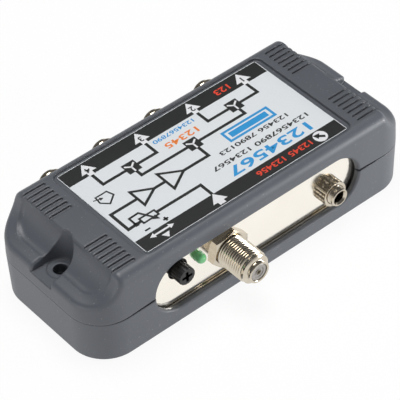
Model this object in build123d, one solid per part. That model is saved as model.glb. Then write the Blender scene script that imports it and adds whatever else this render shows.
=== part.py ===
from build123d import *
import math
import os

# TV signal amplifier: a tinned shield box with coaxial ports, held between two moulded shells.
# Millimetres. +Z is up, +X is towards the power socket's end and -Y is the front with the input.
# The origin is the centre of the underside.

# Shield box of thin sheet, which the case is built round
box_length = 76.0
box_width = 41.4
box_height = 19.3
box_base_height = 4.2
box_corner_radius = 0.9
sheet = 0.5
lid_sheet = 0.4
lid_flange_height = 1.8
box_clearance = 0.15

# Moulded case
case_end_length = 18.0
case_side_thickness = 2.3
case_roof_thickness = 4.7
corner_radius = 11.0
wall_lean = 0.4
shell_wall = 2.2
long_edge_radius = 3.2
base_edge_chamfer = 0.6
overrun = 2.0

# Scooped ends of the top shell
scoop_radius = 8.8
scoop_depth = 8.3
scoop_axis_from_end = 0.6
rim_edge_radius = 1.8
rim_width = 2.2
bowl_radius = 9.1
bowl_depth = 9.1
bowl_axis_from_end = 0.9
bowl_blend_radius = 2.5

# Channel and hole for the screw that fixes each end to a wall
channel_width = 8.0
channel_depth = 10.7
channel_mouth_chamfer = 0.6
wall_screw_from_end = 6.7
wall_screw_hole_diameter = 4.0
screw_seat_diameter = 7.4
screw_seat_depth = 0.25

# Grip grooves on the flat top, in a group on each side of each channel
groove_count = 7
groove_width = 0.9
groove_depth = 0.55
groove_start_from_end = 17.2
groove_end_from_end = 8.4
groove_from_channel = 3.4
groove_from_side = 4.2

# Label in its recess
label_inset_long = 3.0
label_inset_wide = 1.7
label_thickness = 0.3
label_corner_radius = 0.6
recess_margin_long = 1.5
recess_margin_wide = 0.9
recess_corner_radius = 2.5
recess_depth = 0.8

# Long window in each side, half in each shell
window_inset_long = 2.25
window_inset_high = 1.15
window_chamfer = 0.5

# Ribs inside the shells that the shield box stands between
support_rib_width = 1.6
support_rib_count = 3

# Screws that hold the shells together, and their bosses
case_screw_from_end = 13.2
case_screw_from_side = 7.5
case_screw_diameter = 2.9
case_screw_head_diameter = 5.4
case_screw_head_height = 2.0
case_screw_seat_height = 6.0
case_screw_tip_depth = 9.2
boss_diameter = 7.0
screw_play = 0.25
thread_play = 0.05

# Circuit board
board_thickness = 1.6
board_below_middle = 1.85
board_clearance = 0.2
board_tab_width = 6.0
board_tab_depth = 2.0

# Coaxial ports: one in front, four at the back
port_thread_diameter = 9.525
port_neck_diameter = 9.0
port_neck_beyond_nut = 0.15
input_thread_tip = 11.6
output_thread_tip = 10.5
port_collar_diameter = 6.7
port_collar_length = 1.2
port_chamfer = 0.9
port_barrel_diameter = 11.4
port_barrel_length = 5.0
port_hole_play = 0.1
insulator_diameter = 5.4
insulator_recess = 0.3
contact_diameter = 1.5
contact_mouth_diameter = 0.9
contact_mouth_depth = 8.0
contact_pin_width = 0.9
contact_pin_length = 3.7
nut_across_flats = 11.0
nut_thickness = 1.5
nut_turn = 15.0
input_share = -0.1275
output_count = 4
output_pitch_share = 0.242
output_row_share = -0.02

# Power socket
socket_share = 0.3525
socket_drop_share = 0.132
socket_bore_diameter = 3.6
socket_bushing_diameter = 5.6
socket_bushing_length = 4.4
socket_flange_diameter = 7.6
socket_flange_thickness = 0.8
socket_nut_diameter = 7.9
socket_nut_thickness = 2.5
socket_nut_slot_width = 1.1
socket_nut_slot_depth = 0.7
socket_housing_width = 8.4
socket_housing_length = 10.5
socket_cavity_diameter = 5.4
socket_spring_thickness = 0.3
socket_spring_width = 1.6
socket_rear_wall = 1.1
socket_lug_width = 1.6
socket_lug_thickness = 0.3
socket_lug_length = 4.0
socket_lug_spacing = 4.4

# Status light, beside the gain trimmer
light_from_trimmer = 7.0
light_diameter = 3.0
light_stand_out = 2.6
light_collar_diameter = 3.8
light_collar_length = 1.0
light_lead_width = 0.5
light_lead_spacing = 2.0
light_lead_reach = 3.4

# Gain trimmer, which turns
trimmer_share = -0.3525
trimmer_rise_share = 0.189
trimmer_shaft_diameter = 5.0
trimmer_shaft_reach = 4.0
trimmer_hole_diameter = 6.5
trimmer_gap = 0.3
trimmer_journal_diameter = 3.9
trimmer_journal_play = 0.06
trimmer_head_diameter = 4.8
trimmer_head_thickness = 0.6
trimmer_drive_width = 0.9
trimmer_drive_length = 3.4
trimmer_drive_depth = 1.2
trimmer_housing_width = 9.6
trimmer_housing_depth = 5.0
trimmer_housing_below_lid = 1.1
trimmer_pin_width = 0.6
trimmer_pin_spacing = 2.5

# Board parts, each stood on the board on square leads
lead_width = 0.5
lead_stub = 1.4
hole_play = 0.1
capacitor_diameter = 6.3
capacitor_height = 8.0
capacitor_lead_pitch = 2.5
regulator_diameter = 4.8
regulator_height = 4.8
regulator_flat = 1.3
regulator_stand_off = 2.0
regulator_lead_pitch = 1.27
transistor_diameter = 4.8
transistor_height = 1.8
transistor_lead_length = 2.0
transistor_lead_thickness = 0.2
core_length = 6.0
core_width = 3.5
core_height = 4.0
core_bore_diameter = 1.1
choke_diameter = 4.0
choke_height = 4.6
choke_waist_diameter = 2.6
choke_flange_thickness = 0.9
choke_lead_pitch = 2.5
chip_length = 2.0
chip_width = 1.25
resistor_chip_height = 0.5
capacitor_chip_height = 0.8

# Where the board parts stand, as shares of the box's length and width
capacitor_shares = (0.2, -0.29)
regulator_shares = (0.25, 0.0)
input_transistor_shares = (-0.08, -0.12)
output_transistor_shares = (0.066, -0.12)
choke_shares = (0.158, -0.048)
core_row_share = 0.11
resistor_shares = [
    (-0.18, -0.07),
    (-0.13, 0.0),
    (-0.03, 0.0),
    (0.01, -0.22),
    (0.12, -0.22),
    (0.3, 0.1),
]
capacitor_chip_shares = [
    (-0.18, -0.2),
    (-0.04, -0.22),
    (0.01, -0.05),
    (0.12, 0.025),
    (-0.34, -0.1),
    (0.37, 0.05),
]

# Places worked out from the sizes above
case_length = box_length + 2 * case_end_length
case_width = box_width + 2 * case_side_thickness
box_top_height = box_base_height + box_height
case_height = box_top_height + case_roof_thickness
parting_height = box_base_height + box_height / 2
scoop_floor_height = case_height - scoop_depth
bowl_floor_height = case_height - bowl_depth
channel_floor_height = case_height - channel_depth
recess_floor_height = case_height - recess_depth
wall_screw_x = case_length / 2 - wall_screw_from_end
case_screw_x = case_length / 2 - case_screw_from_end
case_screw_y = case_width / 2 - case_screw_from_side
case_screw_tip_height = case_height - case_screw_tip_depth
first_groove = channel_width / 2 + groove_from_channel
groove_pitch = (case_width / 2 - groove_from_side - first_groove) / (groove_count - 1)
label_length = box_length - 2 * label_inset_long
label_width = box_width - 2 * label_inset_wide
window_length = box_length - 2 * window_inset_long
window_height = box_height - 2 * window_inset_high
panel_face = box_width / 2
panel_back = panel_face - sheet
lid_outer_width = box_width + 2 * lid_sheet
lid_outer_length = box_length + 2 * lid_sheet
cavity_width = lid_outer_width + 2 * box_clearance
cavity_length = lid_outer_length + 2 * box_clearance
cavity_floor = box_base_height - lid_sheet - box_clearance
cavity_ceiling = box_top_height + lid_sheet + box_clearance
board_top_height = parting_height - board_below_middle
board_bottom_height = board_top_height - board_thickness
board_length = box_length - 2 * sheet - board_clearance
board_width = box_width - 2 * sheet - board_clearance
port_height = parting_height
input_x = box_length * input_share
output_pitch = box_length * output_pitch_share
output_places = [
    box_length * output_row_share + output_pitch * (index - (output_count - 1) / 2)
    for index in range(output_count)
]
socket_x = box_length * socket_share
socket_height = parting_height - box_height * socket_drop_share
trimmer_x = box_length * trimmer_share
trimmer_height = parting_height + box_height * trimmer_rise_share
light_x = trimmer_x + light_from_trimmer
light_height = trimmer_height


def case_plan(inset):
    """The case's rounded plan at height zero, drawn in by the inset."""
    return RectangleRounded(
        case_length - 2 * inset, case_width - 2 * inset, corner_radius - inset
    )


def leaning_half(height, upward):
    """Half of the case from the parting plane, its sides leaning in as they leave it."""
    lean = math.degrees(math.atan(wall_lean / height))
    half = extrude(case_plan(0), height, dir=(0, 0, upward), taper=lean)
    return Pos(0, 0, parting_height) * half


def prism(plan, low, high):
    """A plan drawn at height zero, raised between two heights."""
    return Pos(0, 0, low) * extrude(plan, high - low)


def centred_block(length, width, low, high, x=0, y=0):
    """A block between two heights, centred on a place."""
    return Pos(x, y, low) * Box(
        length, width, high - low, align=(Align.CENTER, Align.CENTER, Align.MIN)
    )


def upright(radius, low, high, x=0, y=0):
    """A round post or hole between two heights."""
    return Pos(x, y, low) * Cylinder(
        radius, high - low, align=(Align.CENTER, Align.CENTER, Align.MIN)
    )


def stub(radius, start, end):
    """A round length along the local +Z axis, which points out of the panel once placed."""
    return Pos(0, 0, start) * Cylinder(
        radius, end - start, align=(Align.CENTER, Align.CENTER, Align.MIN)
    )


def at_panel(x, height, facing):
    """Turns a piece drawn outwards along +Z to face out of a side: -1 is the front, 1 the back."""
    return Pos(x, facing * panel_face, height) * Rot(0, 0, 90 + 90 * facing) * Rot(90, 0, 0)


def window_cutter():
    """The long round-ended window, right through both sides."""
    plan = SlotOverall(window_length, window_height)
    return Pos(0, 0, parting_height) * Rot(90, 0, 0) * extrude(plan, case_width, both=True)


def wall_screw_holes(low, high):
    """The two holes for the screws that fix the case to a wall."""
    radius = wall_screw_hole_diameter / 2
    return [upright(radius, low, high, side * wall_screw_x) for side in (-1, 1)]


def case_screw_places():
    """Where the four screws that hold the shells together stand."""
    return [
        (side_x * case_screw_x, side_y * case_screw_y) for side_x in (-1, 1) for side_y in (-1, 1)
    ]


def board_place(shares):
    """A place on the board, from its shares of the box's length and width."""
    return shares[0] * box_length, shares[1] * box_width


def chamfer_window(shell):
    """Breaks the outer edge of the windows, on both sides of a shell."""
    side_y = case_width / 2 - wall_lean - window_chamfer
    edges = [
        edge
        for edge in shell.edges()
        if abs(edge.center().Y) > side_y
        and abs(edge.center().X) < window_length / 2
        and abs(edge.center().Z - parting_height) < window_height / 2 + thread_play
        and abs(edge.center().Z - parting_height) > thread_play
    ]
    return chamfer(edges, window_chamfer)


def end_pockets(low, high, inner_x, outer_x):
    """Hollows at the ends, either side of the wall screw's column."""
    plan = case_plan(shell_wall) & Pos((inner_x + outer_x) / 2, 0) * Rectangle(
        outer_x - inner_x, case_width
    )
    column = Rectangle(2 * case_length, channel_width + 2 * shell_wall)
    pockets = prism(plan - column, low, high)
    return pockets + mirror(pockets, Plane.YZ)


def shell_bosses(low, high):
    """The columns round the screws that hold the shells together."""
    return [upright(boss_diameter / 2, low, high, x, y) for x, y in case_screw_places()]


def support_ribs(low, high):
    """Cross ribs that the shield box stands against."""
    spacing = box_length / support_rib_count
    return [
        centred_block(
            support_rib_width, cavity_width, low, high, spacing * (index - (support_rib_count - 1) / 2)
        )
        for index in range(support_rib_count)
    ]


def bowl_cutter(side):
    """The dished hollow inside the rim of one end."""
    length = case_length - 2 * rim_width
    width = case_width - 2 * rim_width
    plan = RectangleRounded(length, width, corner_radius - rim_width)
    inside = prism(plan, parting_height, case_height + overrun)
    axis_x = case_length / 2 - bowl_axis_from_end
    round_bar = Pos(axis_x, 0, bowl_floor_height + bowl_radius) * Rot(90, 0, 0) * Cylinder(
        bowl_radius, case_width
    )
    bowl = inside & round_bar
    floor_edges = [
        edge
        for edge in bowl.edges()
        if edge.center().Z < bowl_floor_height + bowl_radius / 2
    ]
    bowl = fillet(floor_edges, bowl_blend_radius)
    return bowl if side > 0 else mirror(bowl, Plane.YZ)


def channel_cutter(side):
    """The open-ended channel over the wall screw, with its seat ring."""
    radius = channel_width / 2
    plan = Circle(radius) + Pos(side * case_length / 4, 0) * Rectangle(case_length / 2, channel_width)
    channel = prism(plan, channel_floor_height, case_height + overrun)
    seat = prism(
        Circle(screw_seat_diameter / 2), channel_floor_height - screw_seat_depth, channel_floor_height
    )
    return Pos(side * wall_screw_x, 0, 0) * (channel + seat)


def groove_cutters():
    """The grip grooves, round at the inner end and run out through the scoop."""
    length = groove_start_from_end - groove_end_from_end
    middle = case_length / 2 - groove_end_from_end - length / 2
    plan = Pos(middle, 0) * SlotOverall(length, groove_width)
    groove = prism(plan, case_height - groove_depth, case_height + overrun)
    cutters = []
    for index in range(groove_count):
        offset = first_groove + index * groove_pitch
        for side_y in (-1, 1):
            cutter = Pos(0, side_y * offset, 0) * groove
            cutters += [cutter, mirror(cutter, Plane.YZ)]
    return cutters


def top_shell():
    """The upper half: drafted sides, scooped ends with rims, channels, grooves and label recess."""
    shell = leaning_half(case_height - parting_height, 1)
    scoop_x = case_length / 2 - scoop_axis_from_end
    scoop_z = scoop_floor_height + scoop_radius
    for side in (-1, 1):
        bar = Pos(side * scoop_x, 0, scoop_z) * Rot(90, 0, 0) * Cylinder(scoop_radius, 2 * case_width)
        shell -= bar
    flat_top = shell.faces().sort_by(Axis.Z)[-1]
    shell = fillet(flat_top.edges().filter_by(Axis.X), long_edge_radius)
    rims = [
        edge
        for face in shell.faces().filter_by(GeomType.CYLINDER)
        if abs(face.center().X) > case_length / 2 - scoop_axis_from_end - scoop_radius
        for edge in face.edges()
        if edge.center().Z < case_height - rim_edge_radius / 2
    ]
    shell = fillet(rims, rim_edge_radius)
    for side in (-1, 1):
        shell -= bowl_cutter(side)
        shell -= channel_cutter(side)
    mouths = [
        edge
        for edge in shell.edges()
        if abs(abs(edge.center().Y) - channel_width / 2) < thread_play
        and abs(edge.center().X) > case_length / 2 - wall_lean
        and edge.center().Z > channel_floor_height
    ]
    shell = chamfer(mouths, channel_mouth_chamfer)
    recess = RectangleRounded(
        label_length + 2 * recess_margin_long,
        label_width + 2 * recess_margin_wide,
        recess_corner_radius,
    )
    shell -= prism(recess, recess_floor_height, case_height + overrun)
    shell -= groove_cutters()

    cavity = RectangleRounded(cavity_length, cavity_width, box_corner_radius)
    roof = recess_floor_height - shell_wall
    shell -= prism(cavity, parting_height - overrun, roof)
    shell += support_ribs(cavity_ceiling, roof)
    inner_x = cavity_length / 2 + shell_wall
    flat_end = case_length / 2 - bowl_axis_from_end - bowl_radius - shell_wall
    pockets = end_pockets(
        parting_height - overrun, bowl_floor_height - shell_wall, inner_x, case_length / 2
    )
    pockets += end_pockets(parting_height - overrun, roof, inner_x, flat_end)
    for boss in shell_bosses(parting_height - overrun, case_height):
        pockets -= boss
    shell -= pockets
    pilot = case_screw_diameter / 2 + thread_play
    for x, y in case_screw_places():
        shell -= upright(pilot, parting_height - overrun, case_screw_tip_height + overrun, x, y)
    shell -= wall_screw_holes(parting_height - overrun, case_height)
    shell -= window_cutter()
    return chamfer_window(shell)


def bottom_shell():
    """The lower half: drafted sides, flat base, bosses and the lower half of the windows."""
    shell = leaning_half(parting_height, -1)
    base = shell.faces().sort_by(Axis.Z)[0]
    shell = chamfer(base.edges(), base_edge_chamfer)
    cavity = RectangleRounded(cavity_length, cavity_width, box_corner_radius)
    shell -= prism(cavity, shell_wall, parting_height + overrun)
    shell += support_ribs(shell_wall, cavity_floor)
    inner_x = cavity_length / 2 + shell_wall
    pockets = end_pockets(shell_wall, parting_height + overrun, inner_x, case_length / 2)
    for boss in shell_bosses(0, case_height):
        pockets -= boss
    shell -= pockets
    hole = case_screw_diameter / 2 + screw_play
    head_hole = case_screw_head_diameter / 2 + screw_play
    for x, y in case_screw_places():
        shell -= upright(hole, -overrun, parting_height + overrun, x, y)
        shell -= upright(head_hole, -overrun, case_screw_seat_height, x, y)
    shell -= wall_screw_holes(-overrun, parting_height + overrun)
    shell -= window_cutter()
    return chamfer_window(shell)


def top_label():
    """The printed label, stuck to the recess floor."""
    plan = RectangleRounded(label_length, label_width, label_corner_radius)
    return prism(plan, recess_floor_height, recess_floor_height + label_thickness)


def case_screws():
    """Four self-tapping screws, driven from the underside into the top shell's bosses."""
    seat = case_screw_seat_height
    shank = stub(case_screw_diameter / 2, seat, case_screw_tip_height)
    head = stub(case_screw_head_diameter / 2, seat - case_screw_head_height, seat)
    return Compound(children=[Pos(x, y, 0) * (shank + head) for x, y in case_screw_places()])


def shield_frame():
    """The box's four walls in one folded strip, with its port holes and the board's tabs."""
    low = box_base_height
    outer = RectangleRounded(box_length, box_width, box_corner_radius)
    inner = RectangleRounded(
        box_length - 2 * sheet, box_width - 2 * sheet, box_corner_radius - sheet
    )
    frame = prism(outer - inner, low, box_top_height)
    port_hole = port_thread_diameter / 2 + port_hole_play
    holes = [(input_x, port_height, -1, port_hole)]
    holes += [(x, port_height, 1, port_hole) for x in output_places]
    holes += [(socket_x, socket_height, -1, socket_bushing_diameter / 2 + port_hole_play)]
    holes += [(light_x, light_height, -1, light_diameter / 2 + port_hole_play)]
    holes += [(trimmer_x, trimmer_height, -1, trimmer_hole_diameter / 2)]
    for x, height, facing, radius in holes:
        frame -= at_panel(x, height, facing) * stub(radius, -overrun, overrun)
    tab_x = box_length / 2 - sheet - board_tab_depth / 2
    for side_x in (-1, 1):
        for side_y in (-1, 1):
            frame += centred_block(
                board_tab_depth,
                board_tab_width,
                board_bottom_height - sheet,
                board_bottom_height,
                side_x * tab_x,
                side_y * box_width / 4,
            )
    return frame


def shield_lid(edge_height, face_height):
    """A shallow pressed lid: its plate lies on the frame's edge and its flange grips the outside."""
    outward = 1 if face_height > edge_height else -1
    plate_plan = RectangleRounded(lid_outer_length, lid_outer_width, box_corner_radius + lid_sheet)
    hollow_plan = RectangleRounded(box_length, box_width, box_corner_radius)
    rim_height = edge_height - outward * lid_flange_height
    low, high = sorted((rim_height, face_height))
    hollow_low, hollow_high = sorted((rim_height - outward * overrun, edge_height))
    return prism(plate_plan, low, high) - prism(hollow_plan, hollow_low, hollow_high)


def lead_rows():
    """The through-hole parts' places, each with its leads' offsets along the board."""
    capacitor_offsets = (-capacitor_lead_pitch / 2, capacitor_lead_pitch / 2)
    regulator_offsets = (-regulator_lead_pitch, 0, regulator_lead_pitch)
    choke_offsets = (-choke_lead_pitch / 2, choke_lead_pitch / 2)
    return [
        (*board_place(capacitor_shares), capacitor_offsets),
        (*board_place(regulator_shares), regulator_offsets),
        (*board_place(choke_shares), choke_offsets),
    ]


def board_holes():
    """Every square hole in the board as its place and width, one for each lead through it."""
    pin_row = panel_back - port_rear_reach() + contact_pin_width / 2
    holes = [(input_x, -pin_row, contact_pin_width)]
    holes += [(x, pin_row, contact_pin_width) for x in output_places]
    half = light_lead_spacing / 2
    holes += [(light_x + side * half, light_row(), light_lead_width) for side in (-1, 1)]
    for place in (-1, 0, 1):
        holes.append((trimmer_x + place * trimmer_pin_spacing, trimmer_row(), trimmer_pin_width))
    for x, y, offsets in lead_rows():
        holes += [(x + offset, y, lead_width) for offset in offsets]
    return holes


def board_notches():
    """Where the board is cut back round what reaches in through a side: place, width and depth."""
    socket_depth = sheet + socket_flange_thickness + socket_housing_length
    port_depth = sheet + port_barrel_length
    notches = [(socket_x, -1, socket_housing_width, socket_depth)]
    notches += [(input_x, -1, port_barrel_diameter, port_depth)]
    notches += [(x, 1, port_barrel_diameter, port_depth) for x in output_places]
    return notches


def circuit_board():
    """The board, notched round the ports and drilled for its through-hole parts."""
    plan = RectangleRounded(board_length, board_width, box_corner_radius - sheet)
    board = prism(plan, board_bottom_height, board_top_height)
    low = board_bottom_height - overrun
    high = board_top_height + overrun
    for x, facing, width, depth in board_notches():
        board -= centred_block(
            width + 2 * board_clearance,
            2 * (depth + board_clearance),
            low,
            high,
            x,
            facing * panel_face,
        )
    for x, y, width in board_holes():
        opening = width + 2 * hole_play
        board -= centred_block(opening, opening, low, high, x, y)
    return board


def port_rear_reach():
    """How far a port reaches in from the panel's inner face, to the end of its pin."""
    return port_barrel_length + contact_pin_length


def port_body(tip):
    """The port's shell: collar, thread, the neck that the nut and panel hold, and rear barrel."""
    neck_end = nut_thickness + port_neck_beyond_nut
    thread = stub(port_thread_diameter / 2, neck_end, tip)
    thread = chamfer(thread.edges().sort_by(Axis.Z)[-1], port_chamfer)
    neck = stub(port_neck_diameter / 2, -sheet, neck_end)
    collar = stub(port_collar_diameter / 2, tip, tip + port_collar_length)
    rear = -sheet - port_barrel_length
    barrel = stub(port_barrel_diameter / 2, rear, -sheet)
    bore = stub(insulator_diameter / 2, rear, tip + port_collar_length)
    return thread + neck + collar + barrel - bore


def port_insulator(tip):
    """The plastic core, a little below the collar's mouth."""
    rear = -sheet - port_barrel_length
    front = tip + port_collar_length - insulator_recess
    core = stub(insulator_diameter / 2, rear, front)
    return core - stub(contact_diameter / 2, rear, front)


def port_contact(tip):
    """The centre contact: a tube for the cable's core, with a flat pin bent down to the board."""
    rear = -sheet - port_barrel_length
    front = tip + port_collar_length - insulator_recess
    tube = stub(contact_diameter / 2, rear, front)
    mouth = stub(contact_mouth_diameter / 2, front - contact_mouth_depth, front)
    pin = Pos(0, 0, rear) * Box(
        contact_pin_width,
        contact_pin_width,
        contact_pin_length,
        align=(Align.CENTER, Align.CENTER, Align.MAX),
    )
    drop = port_height - board_bottom_height + lead_stub
    leg = Pos(0, 0, rear - contact_pin_length) * Box(
        contact_pin_width,
        drop,
        contact_pin_width,
        align=(Align.CENTER, Align.MAX, Align.MIN),
    )
    return tube - mouth + pin + leg


def port_nut():
    """The hexagon nut outside the panel."""
    hexagon = RegularPolygon(nut_across_flats / 2, 6, major_radius=False)
    return extrude(hexagon - Circle(port_neck_diameter / 2 + thread_play), nut_thickness)


def connector_nuts():
    """The five port nuts, which are all alike."""
    nut = port_nut()
    nuts = [at_panel(input_x, port_height, -1) * Rot(0, 0, nut_turn) * nut]
    nuts += [at_panel(x, port_height, 1) * nut for x in output_places]
    return Compound(children=nuts)


def socket_bushing():
    """The power socket's threaded bushing, with its flange behind the panel."""
    tube = stub(socket_bushing_diameter / 2, -sheet, socket_bushing_length)
    flange = stub(socket_flange_diameter / 2, -sheet - socket_flange_thickness, -sheet)
    bore = stub(
        socket_bore_diameter / 2, -sheet - socket_flange_thickness, socket_bushing_length
    )
    return tube + flange - bore


def socket_housing():
    """The socket's moulded block behind the bushing, closed at the rear."""
    front = -sheet - socket_flange_thickness
    rear = front - socket_housing_length
    block = Pos(0, 0, front) * Box(
        socket_housing_width,
        socket_housing_width,
        socket_housing_length,
        align=(Align.CENTER, Align.CENTER, Align.MAX),
    )
    return block - stub(socket_cavity_diameter / 2, rear + socket_rear_wall, front)


def socket_spring():
    """The leaf that presses on the plug's tip, along the bottom of the socket's cavity."""
    front = -sheet - socket_flange_thickness
    drop = socket_bore_diameter / 2 + socket_spring_thickness
    leaf = Box(
        socket_spring_width,
        socket_spring_thickness,
        socket_housing_length - socket_rear_wall,
        align=(Align.CENTER, Align.MIN, Align.MAX),
    )
    return Pos(0, -drop, front) * leaf


def socket_nut():
    """The round nut outside the panel, with two crossed key slots in its face."""
    nut = stub(socket_nut_diameter / 2, 0, socket_nut_thickness)
    slot = centred_block(
        socket_nut_diameter,
        socket_nut_slot_width,
        socket_nut_thickness - socket_nut_slot_depth,
        socket_nut_thickness,
    )
    nut -= slot + Rot(0, 0, 90) * slot
    hole_radius = socket_bushing_diameter / 2 + thread_play
    return nut - stub(hole_radius, -overrun, socket_nut_thickness + overrun)


def socket_lugs():
    """Two solder lugs out of the back of the power socket, lying on the board."""
    rear = -sheet - socket_flange_thickness - socket_housing_length
    lug = Box(
        socket_lug_width,
        socket_lug_thickness,
        socket_lug_length,
        align=(Align.CENTER, Align.CENTER, Align.MAX),
    )
    half = socket_lug_spacing / 2
    lift = board_top_height - socket_height + socket_lug_thickness / 2
    return [Pos(side * half, lift, rear) * lug for side in (-1, 1)]


def status_light():
    """The round light: a collar behind the panel and a domed lens out through it."""
    radius = light_diameter / 2
    collar_front = -sheet
    lens = stub(radius, collar_front - light_collar_length, light_stand_out - radius)
    dome = Pos(0, 0, light_stand_out - radius) * Sphere(radius)
    collar = stub(light_collar_diameter / 2, collar_front - light_collar_length, collar_front)
    return lens + dome + collar


def light_leads():
    """The light's two leads, back from the collar and down through the board."""
    half_width = light_lead_width / 2
    rear = -sheet - light_collar_length
    drop = light_height - board_bottom_height + lead_stub
    back = Box(
        light_lead_width,
        light_lead_width,
        light_lead_reach,
        align=(Align.CENTER, Align.CENTER, Align.MAX),
    )
    down = Pos(0, half_width, -light_lead_reach) * Box(
        light_lead_width,
        drop,
        light_lead_width,
        align=(Align.CENTER, Align.MAX, Align.MIN),
    )
    half = light_lead_spacing / 2
    return [Pos(side * half, 0, rear) * (back + down) for side in (-1, 1)]


def light_row():
    """Where the light's leads stand behind the front panel."""
    return -panel_face + sheet + light_collar_length + light_lead_reach - light_lead_width / 2


def trimmer_row():
    """Where the trimmer's terminals stand behind the front panel."""
    return -panel_face - trimmer_housing_front() + trimmer_housing_depth / 2


def trimmer_housing_front():
    """Depth of the trimmer housing's front face behind the panel's outer face."""
    return -sheet - trimmer_gap - thread_play


def trimmer_housing():
    """The trimmer's block, stood on the board with a bearing hole for the shaft."""
    front = trimmer_housing_front()
    block = Pos(0, board_top_height - trimmer_height, front) * Box(
        trimmer_housing_width,
        box_top_height - trimmer_housing_below_lid - board_top_height,
        trimmer_housing_depth,
        align=(Align.CENTER, Align.MIN, Align.MAX),
    )
    bore = trimmer_journal_diameter / 2 + trimmer_journal_play
    return block - stub(bore, front - trimmer_housing_depth - overrun, front + overrun)


def trimmer_shaft():
    """The shaft out through the panel, with a snap head behind the housing."""
    front = trimmer_housing_front()
    rear = front - trimmer_housing_depth - thread_play
    tip = trimmer_shaft_reach
    shoulder = front + thread_play
    shaft = stub(trimmer_shaft_diameter / 2, shoulder, tip)
    journal = stub(trimmer_journal_diameter / 2, rear, shoulder)
    head = stub(trimmer_head_diameter / 2, rear - trimmer_head_thickness, rear)
    slot = Pos(0, 0, tip) * Box(
        trimmer_drive_length,
        trimmer_drive_width,
        trimmer_drive_depth,
        align=(Align.CENTER, Align.CENTER, Align.MAX),
    )
    return shaft + journal + head - (slot + Rot(0, 0, 90) * slot)


def trimmer_pins():
    """The trimmer's three terminals, down through the board."""
    depth = trimmer_housing_front() - trimmer_housing_depth / 2
    drop = board_top_height - board_bottom_height + lead_stub
    pin = Pos(0, board_top_height - trimmer_height, depth) * Box(
        trimmer_pin_width,
        drop,
        trimmer_pin_width,
        align=(Align.CENTER, Align.MAX, Align.CENTER),
    )
    return [Pos(place * trimmer_pin_spacing, 0, 0) * pin for place in (-1, 0, 1)]


def leads(offsets, high):
    """Square leads from a part's underside down through the board."""
    low = board_bottom_height - lead_stub
    return [centred_block(lead_width, lead_width, low, high, offset) for offset in offsets]


def supply_capacitor():
    """The electrolytic can and its two leads."""
    x, y, offsets = lead_rows()[0]
    can = upright(capacitor_diameter / 2, board_top_height, board_top_height + capacitor_height)
    return Pos(x, y, 0) * (can + leads(offsets, board_top_height))


def voltage_regulator():
    """The regulator's flat-fronted body, stood off the board on three leads."""
    x, y, offsets = lead_rows()[1]
    low = board_top_height + regulator_stand_off
    body = upright(regulator_diameter / 2, low, low + regulator_height)
    beyond_flat = -regulator_flat - regulator_diameter / 2
    body -= centred_block(
        regulator_diameter, regulator_diameter, low, low + regulator_height, 0, beyond_flat
    )
    return Pos(x, y, 0) * (body + leads(offsets, low))


def transistor(shares):
    """A flat round radio-frequency transistor with its four ribbon leads on the board."""
    ribbon = board_top_height + transistor_lead_thickness
    body = upright(transistor_diameter / 2, board_top_height, board_top_height + transistor_height)
    reach = transistor_diameter + 2 * transistor_lead_length
    strip = centred_block(reach, lead_width, board_top_height, ribbon)
    return Pos(*board_place(shares), 0) * (body + strip + Rot(0, 0, 90) * strip)


def splitter_core(place):
    """A two-hole ferrite core that divides the signal between two outputs."""
    core = centred_block(core_length, core_width, board_top_height, board_top_height + core_height)
    bore = Rot(90, 0, 0) * Cylinder(core_bore_diameter / 2, core_width + overrun)
    middle = board_top_height + core_height / 2
    for side in (-1, 1):
        core -= Pos(side * core_length / 4, 0, middle) * bore
    middle_x = box_length * output_row_share + place * output_pitch
    return Pos(middle_x, box_width * core_row_share, 0) * core


def supply_choke():
    """The drum core that keeps the signal out of the supply."""
    x, y, offsets = lead_rows()[2]
    low = board_top_height
    high = low + choke_height
    drum = upright(choke_waist_diameter / 2, low, high)
    drum += upright(choke_diameter / 2, low, low + choke_flange_thickness)
    drum += upright(choke_diameter / 2, high - choke_flange_thickness, high)
    return Pos(x, y, 0) * (drum + leads(offsets, low))


def chips(places, height):
    """Small surface parts, all alike."""
    chip = centred_block(chip_length, chip_width, board_top_height, board_top_height + height)
    return [Pos(*board_place(shares), 0) * chip for shares in places]


def write(name, shape):
    """Writes one node's file."""
    if isinstance(shape, list):
        shape = Compound(children=shape)
    export_step(shape, "parts/" + name + ".step")


os.makedirs("parts", exist_ok=True)
write("top_shell", top_shell())
write("bottom_shell", bottom_shell())
write("top_label", top_label())
write("case_screws", case_screws())
write("shield_frame", shield_frame())
write("shield_top_lid", shield_lid(box_top_height, box_top_height + lid_sheet))
write("shield_bottom_lid", shield_lid(box_base_height, box_base_height - lid_sheet))
write("circuit_board", circuit_board())

ports = [("input", input_x, -1, input_thread_tip)]
for index, x in enumerate(output_places):
    ports.append(("output_" + str(index + 1), x, 1, output_thread_tip))
for port_name, x, facing, tip in ports:
    at_port = at_panel(x, port_height, facing)
    write(port_name + "_connector_body", at_port * port_body(tip))
    write(port_name + "_connector_insulator", at_port * port_insulator(tip))
    write(port_name + "_connector_contact", at_port * port_contact(tip))
write("connector_nuts", connector_nuts())

at_socket = at_panel(socket_x, socket_height, -1)
write("power_socket_bushing", at_socket * socket_bushing())
write("power_socket_housing", at_socket * socket_housing())
write("power_socket_spring", at_socket * socket_spring())
write("power_socket_nut", at_socket * socket_nut())
write("power_socket_lugs", [at_socket * lug for lug in socket_lugs()])

at_light = at_panel(light_x, light_height, -1)
write("status_light", at_light * status_light())
write("status_light_leads", [at_light * lead for lead in light_leads()])

at_trimmer = at_panel(trimmer_x, trimmer_height, -1)
write("gain_trimmer_housing", at_trimmer * trimmer_housing())
write("gain_trimmer_shaft", at_trimmer * trimmer_shaft())
write("gain_trimmer_pins", [at_trimmer * pin for pin in trimmer_pins()])

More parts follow.
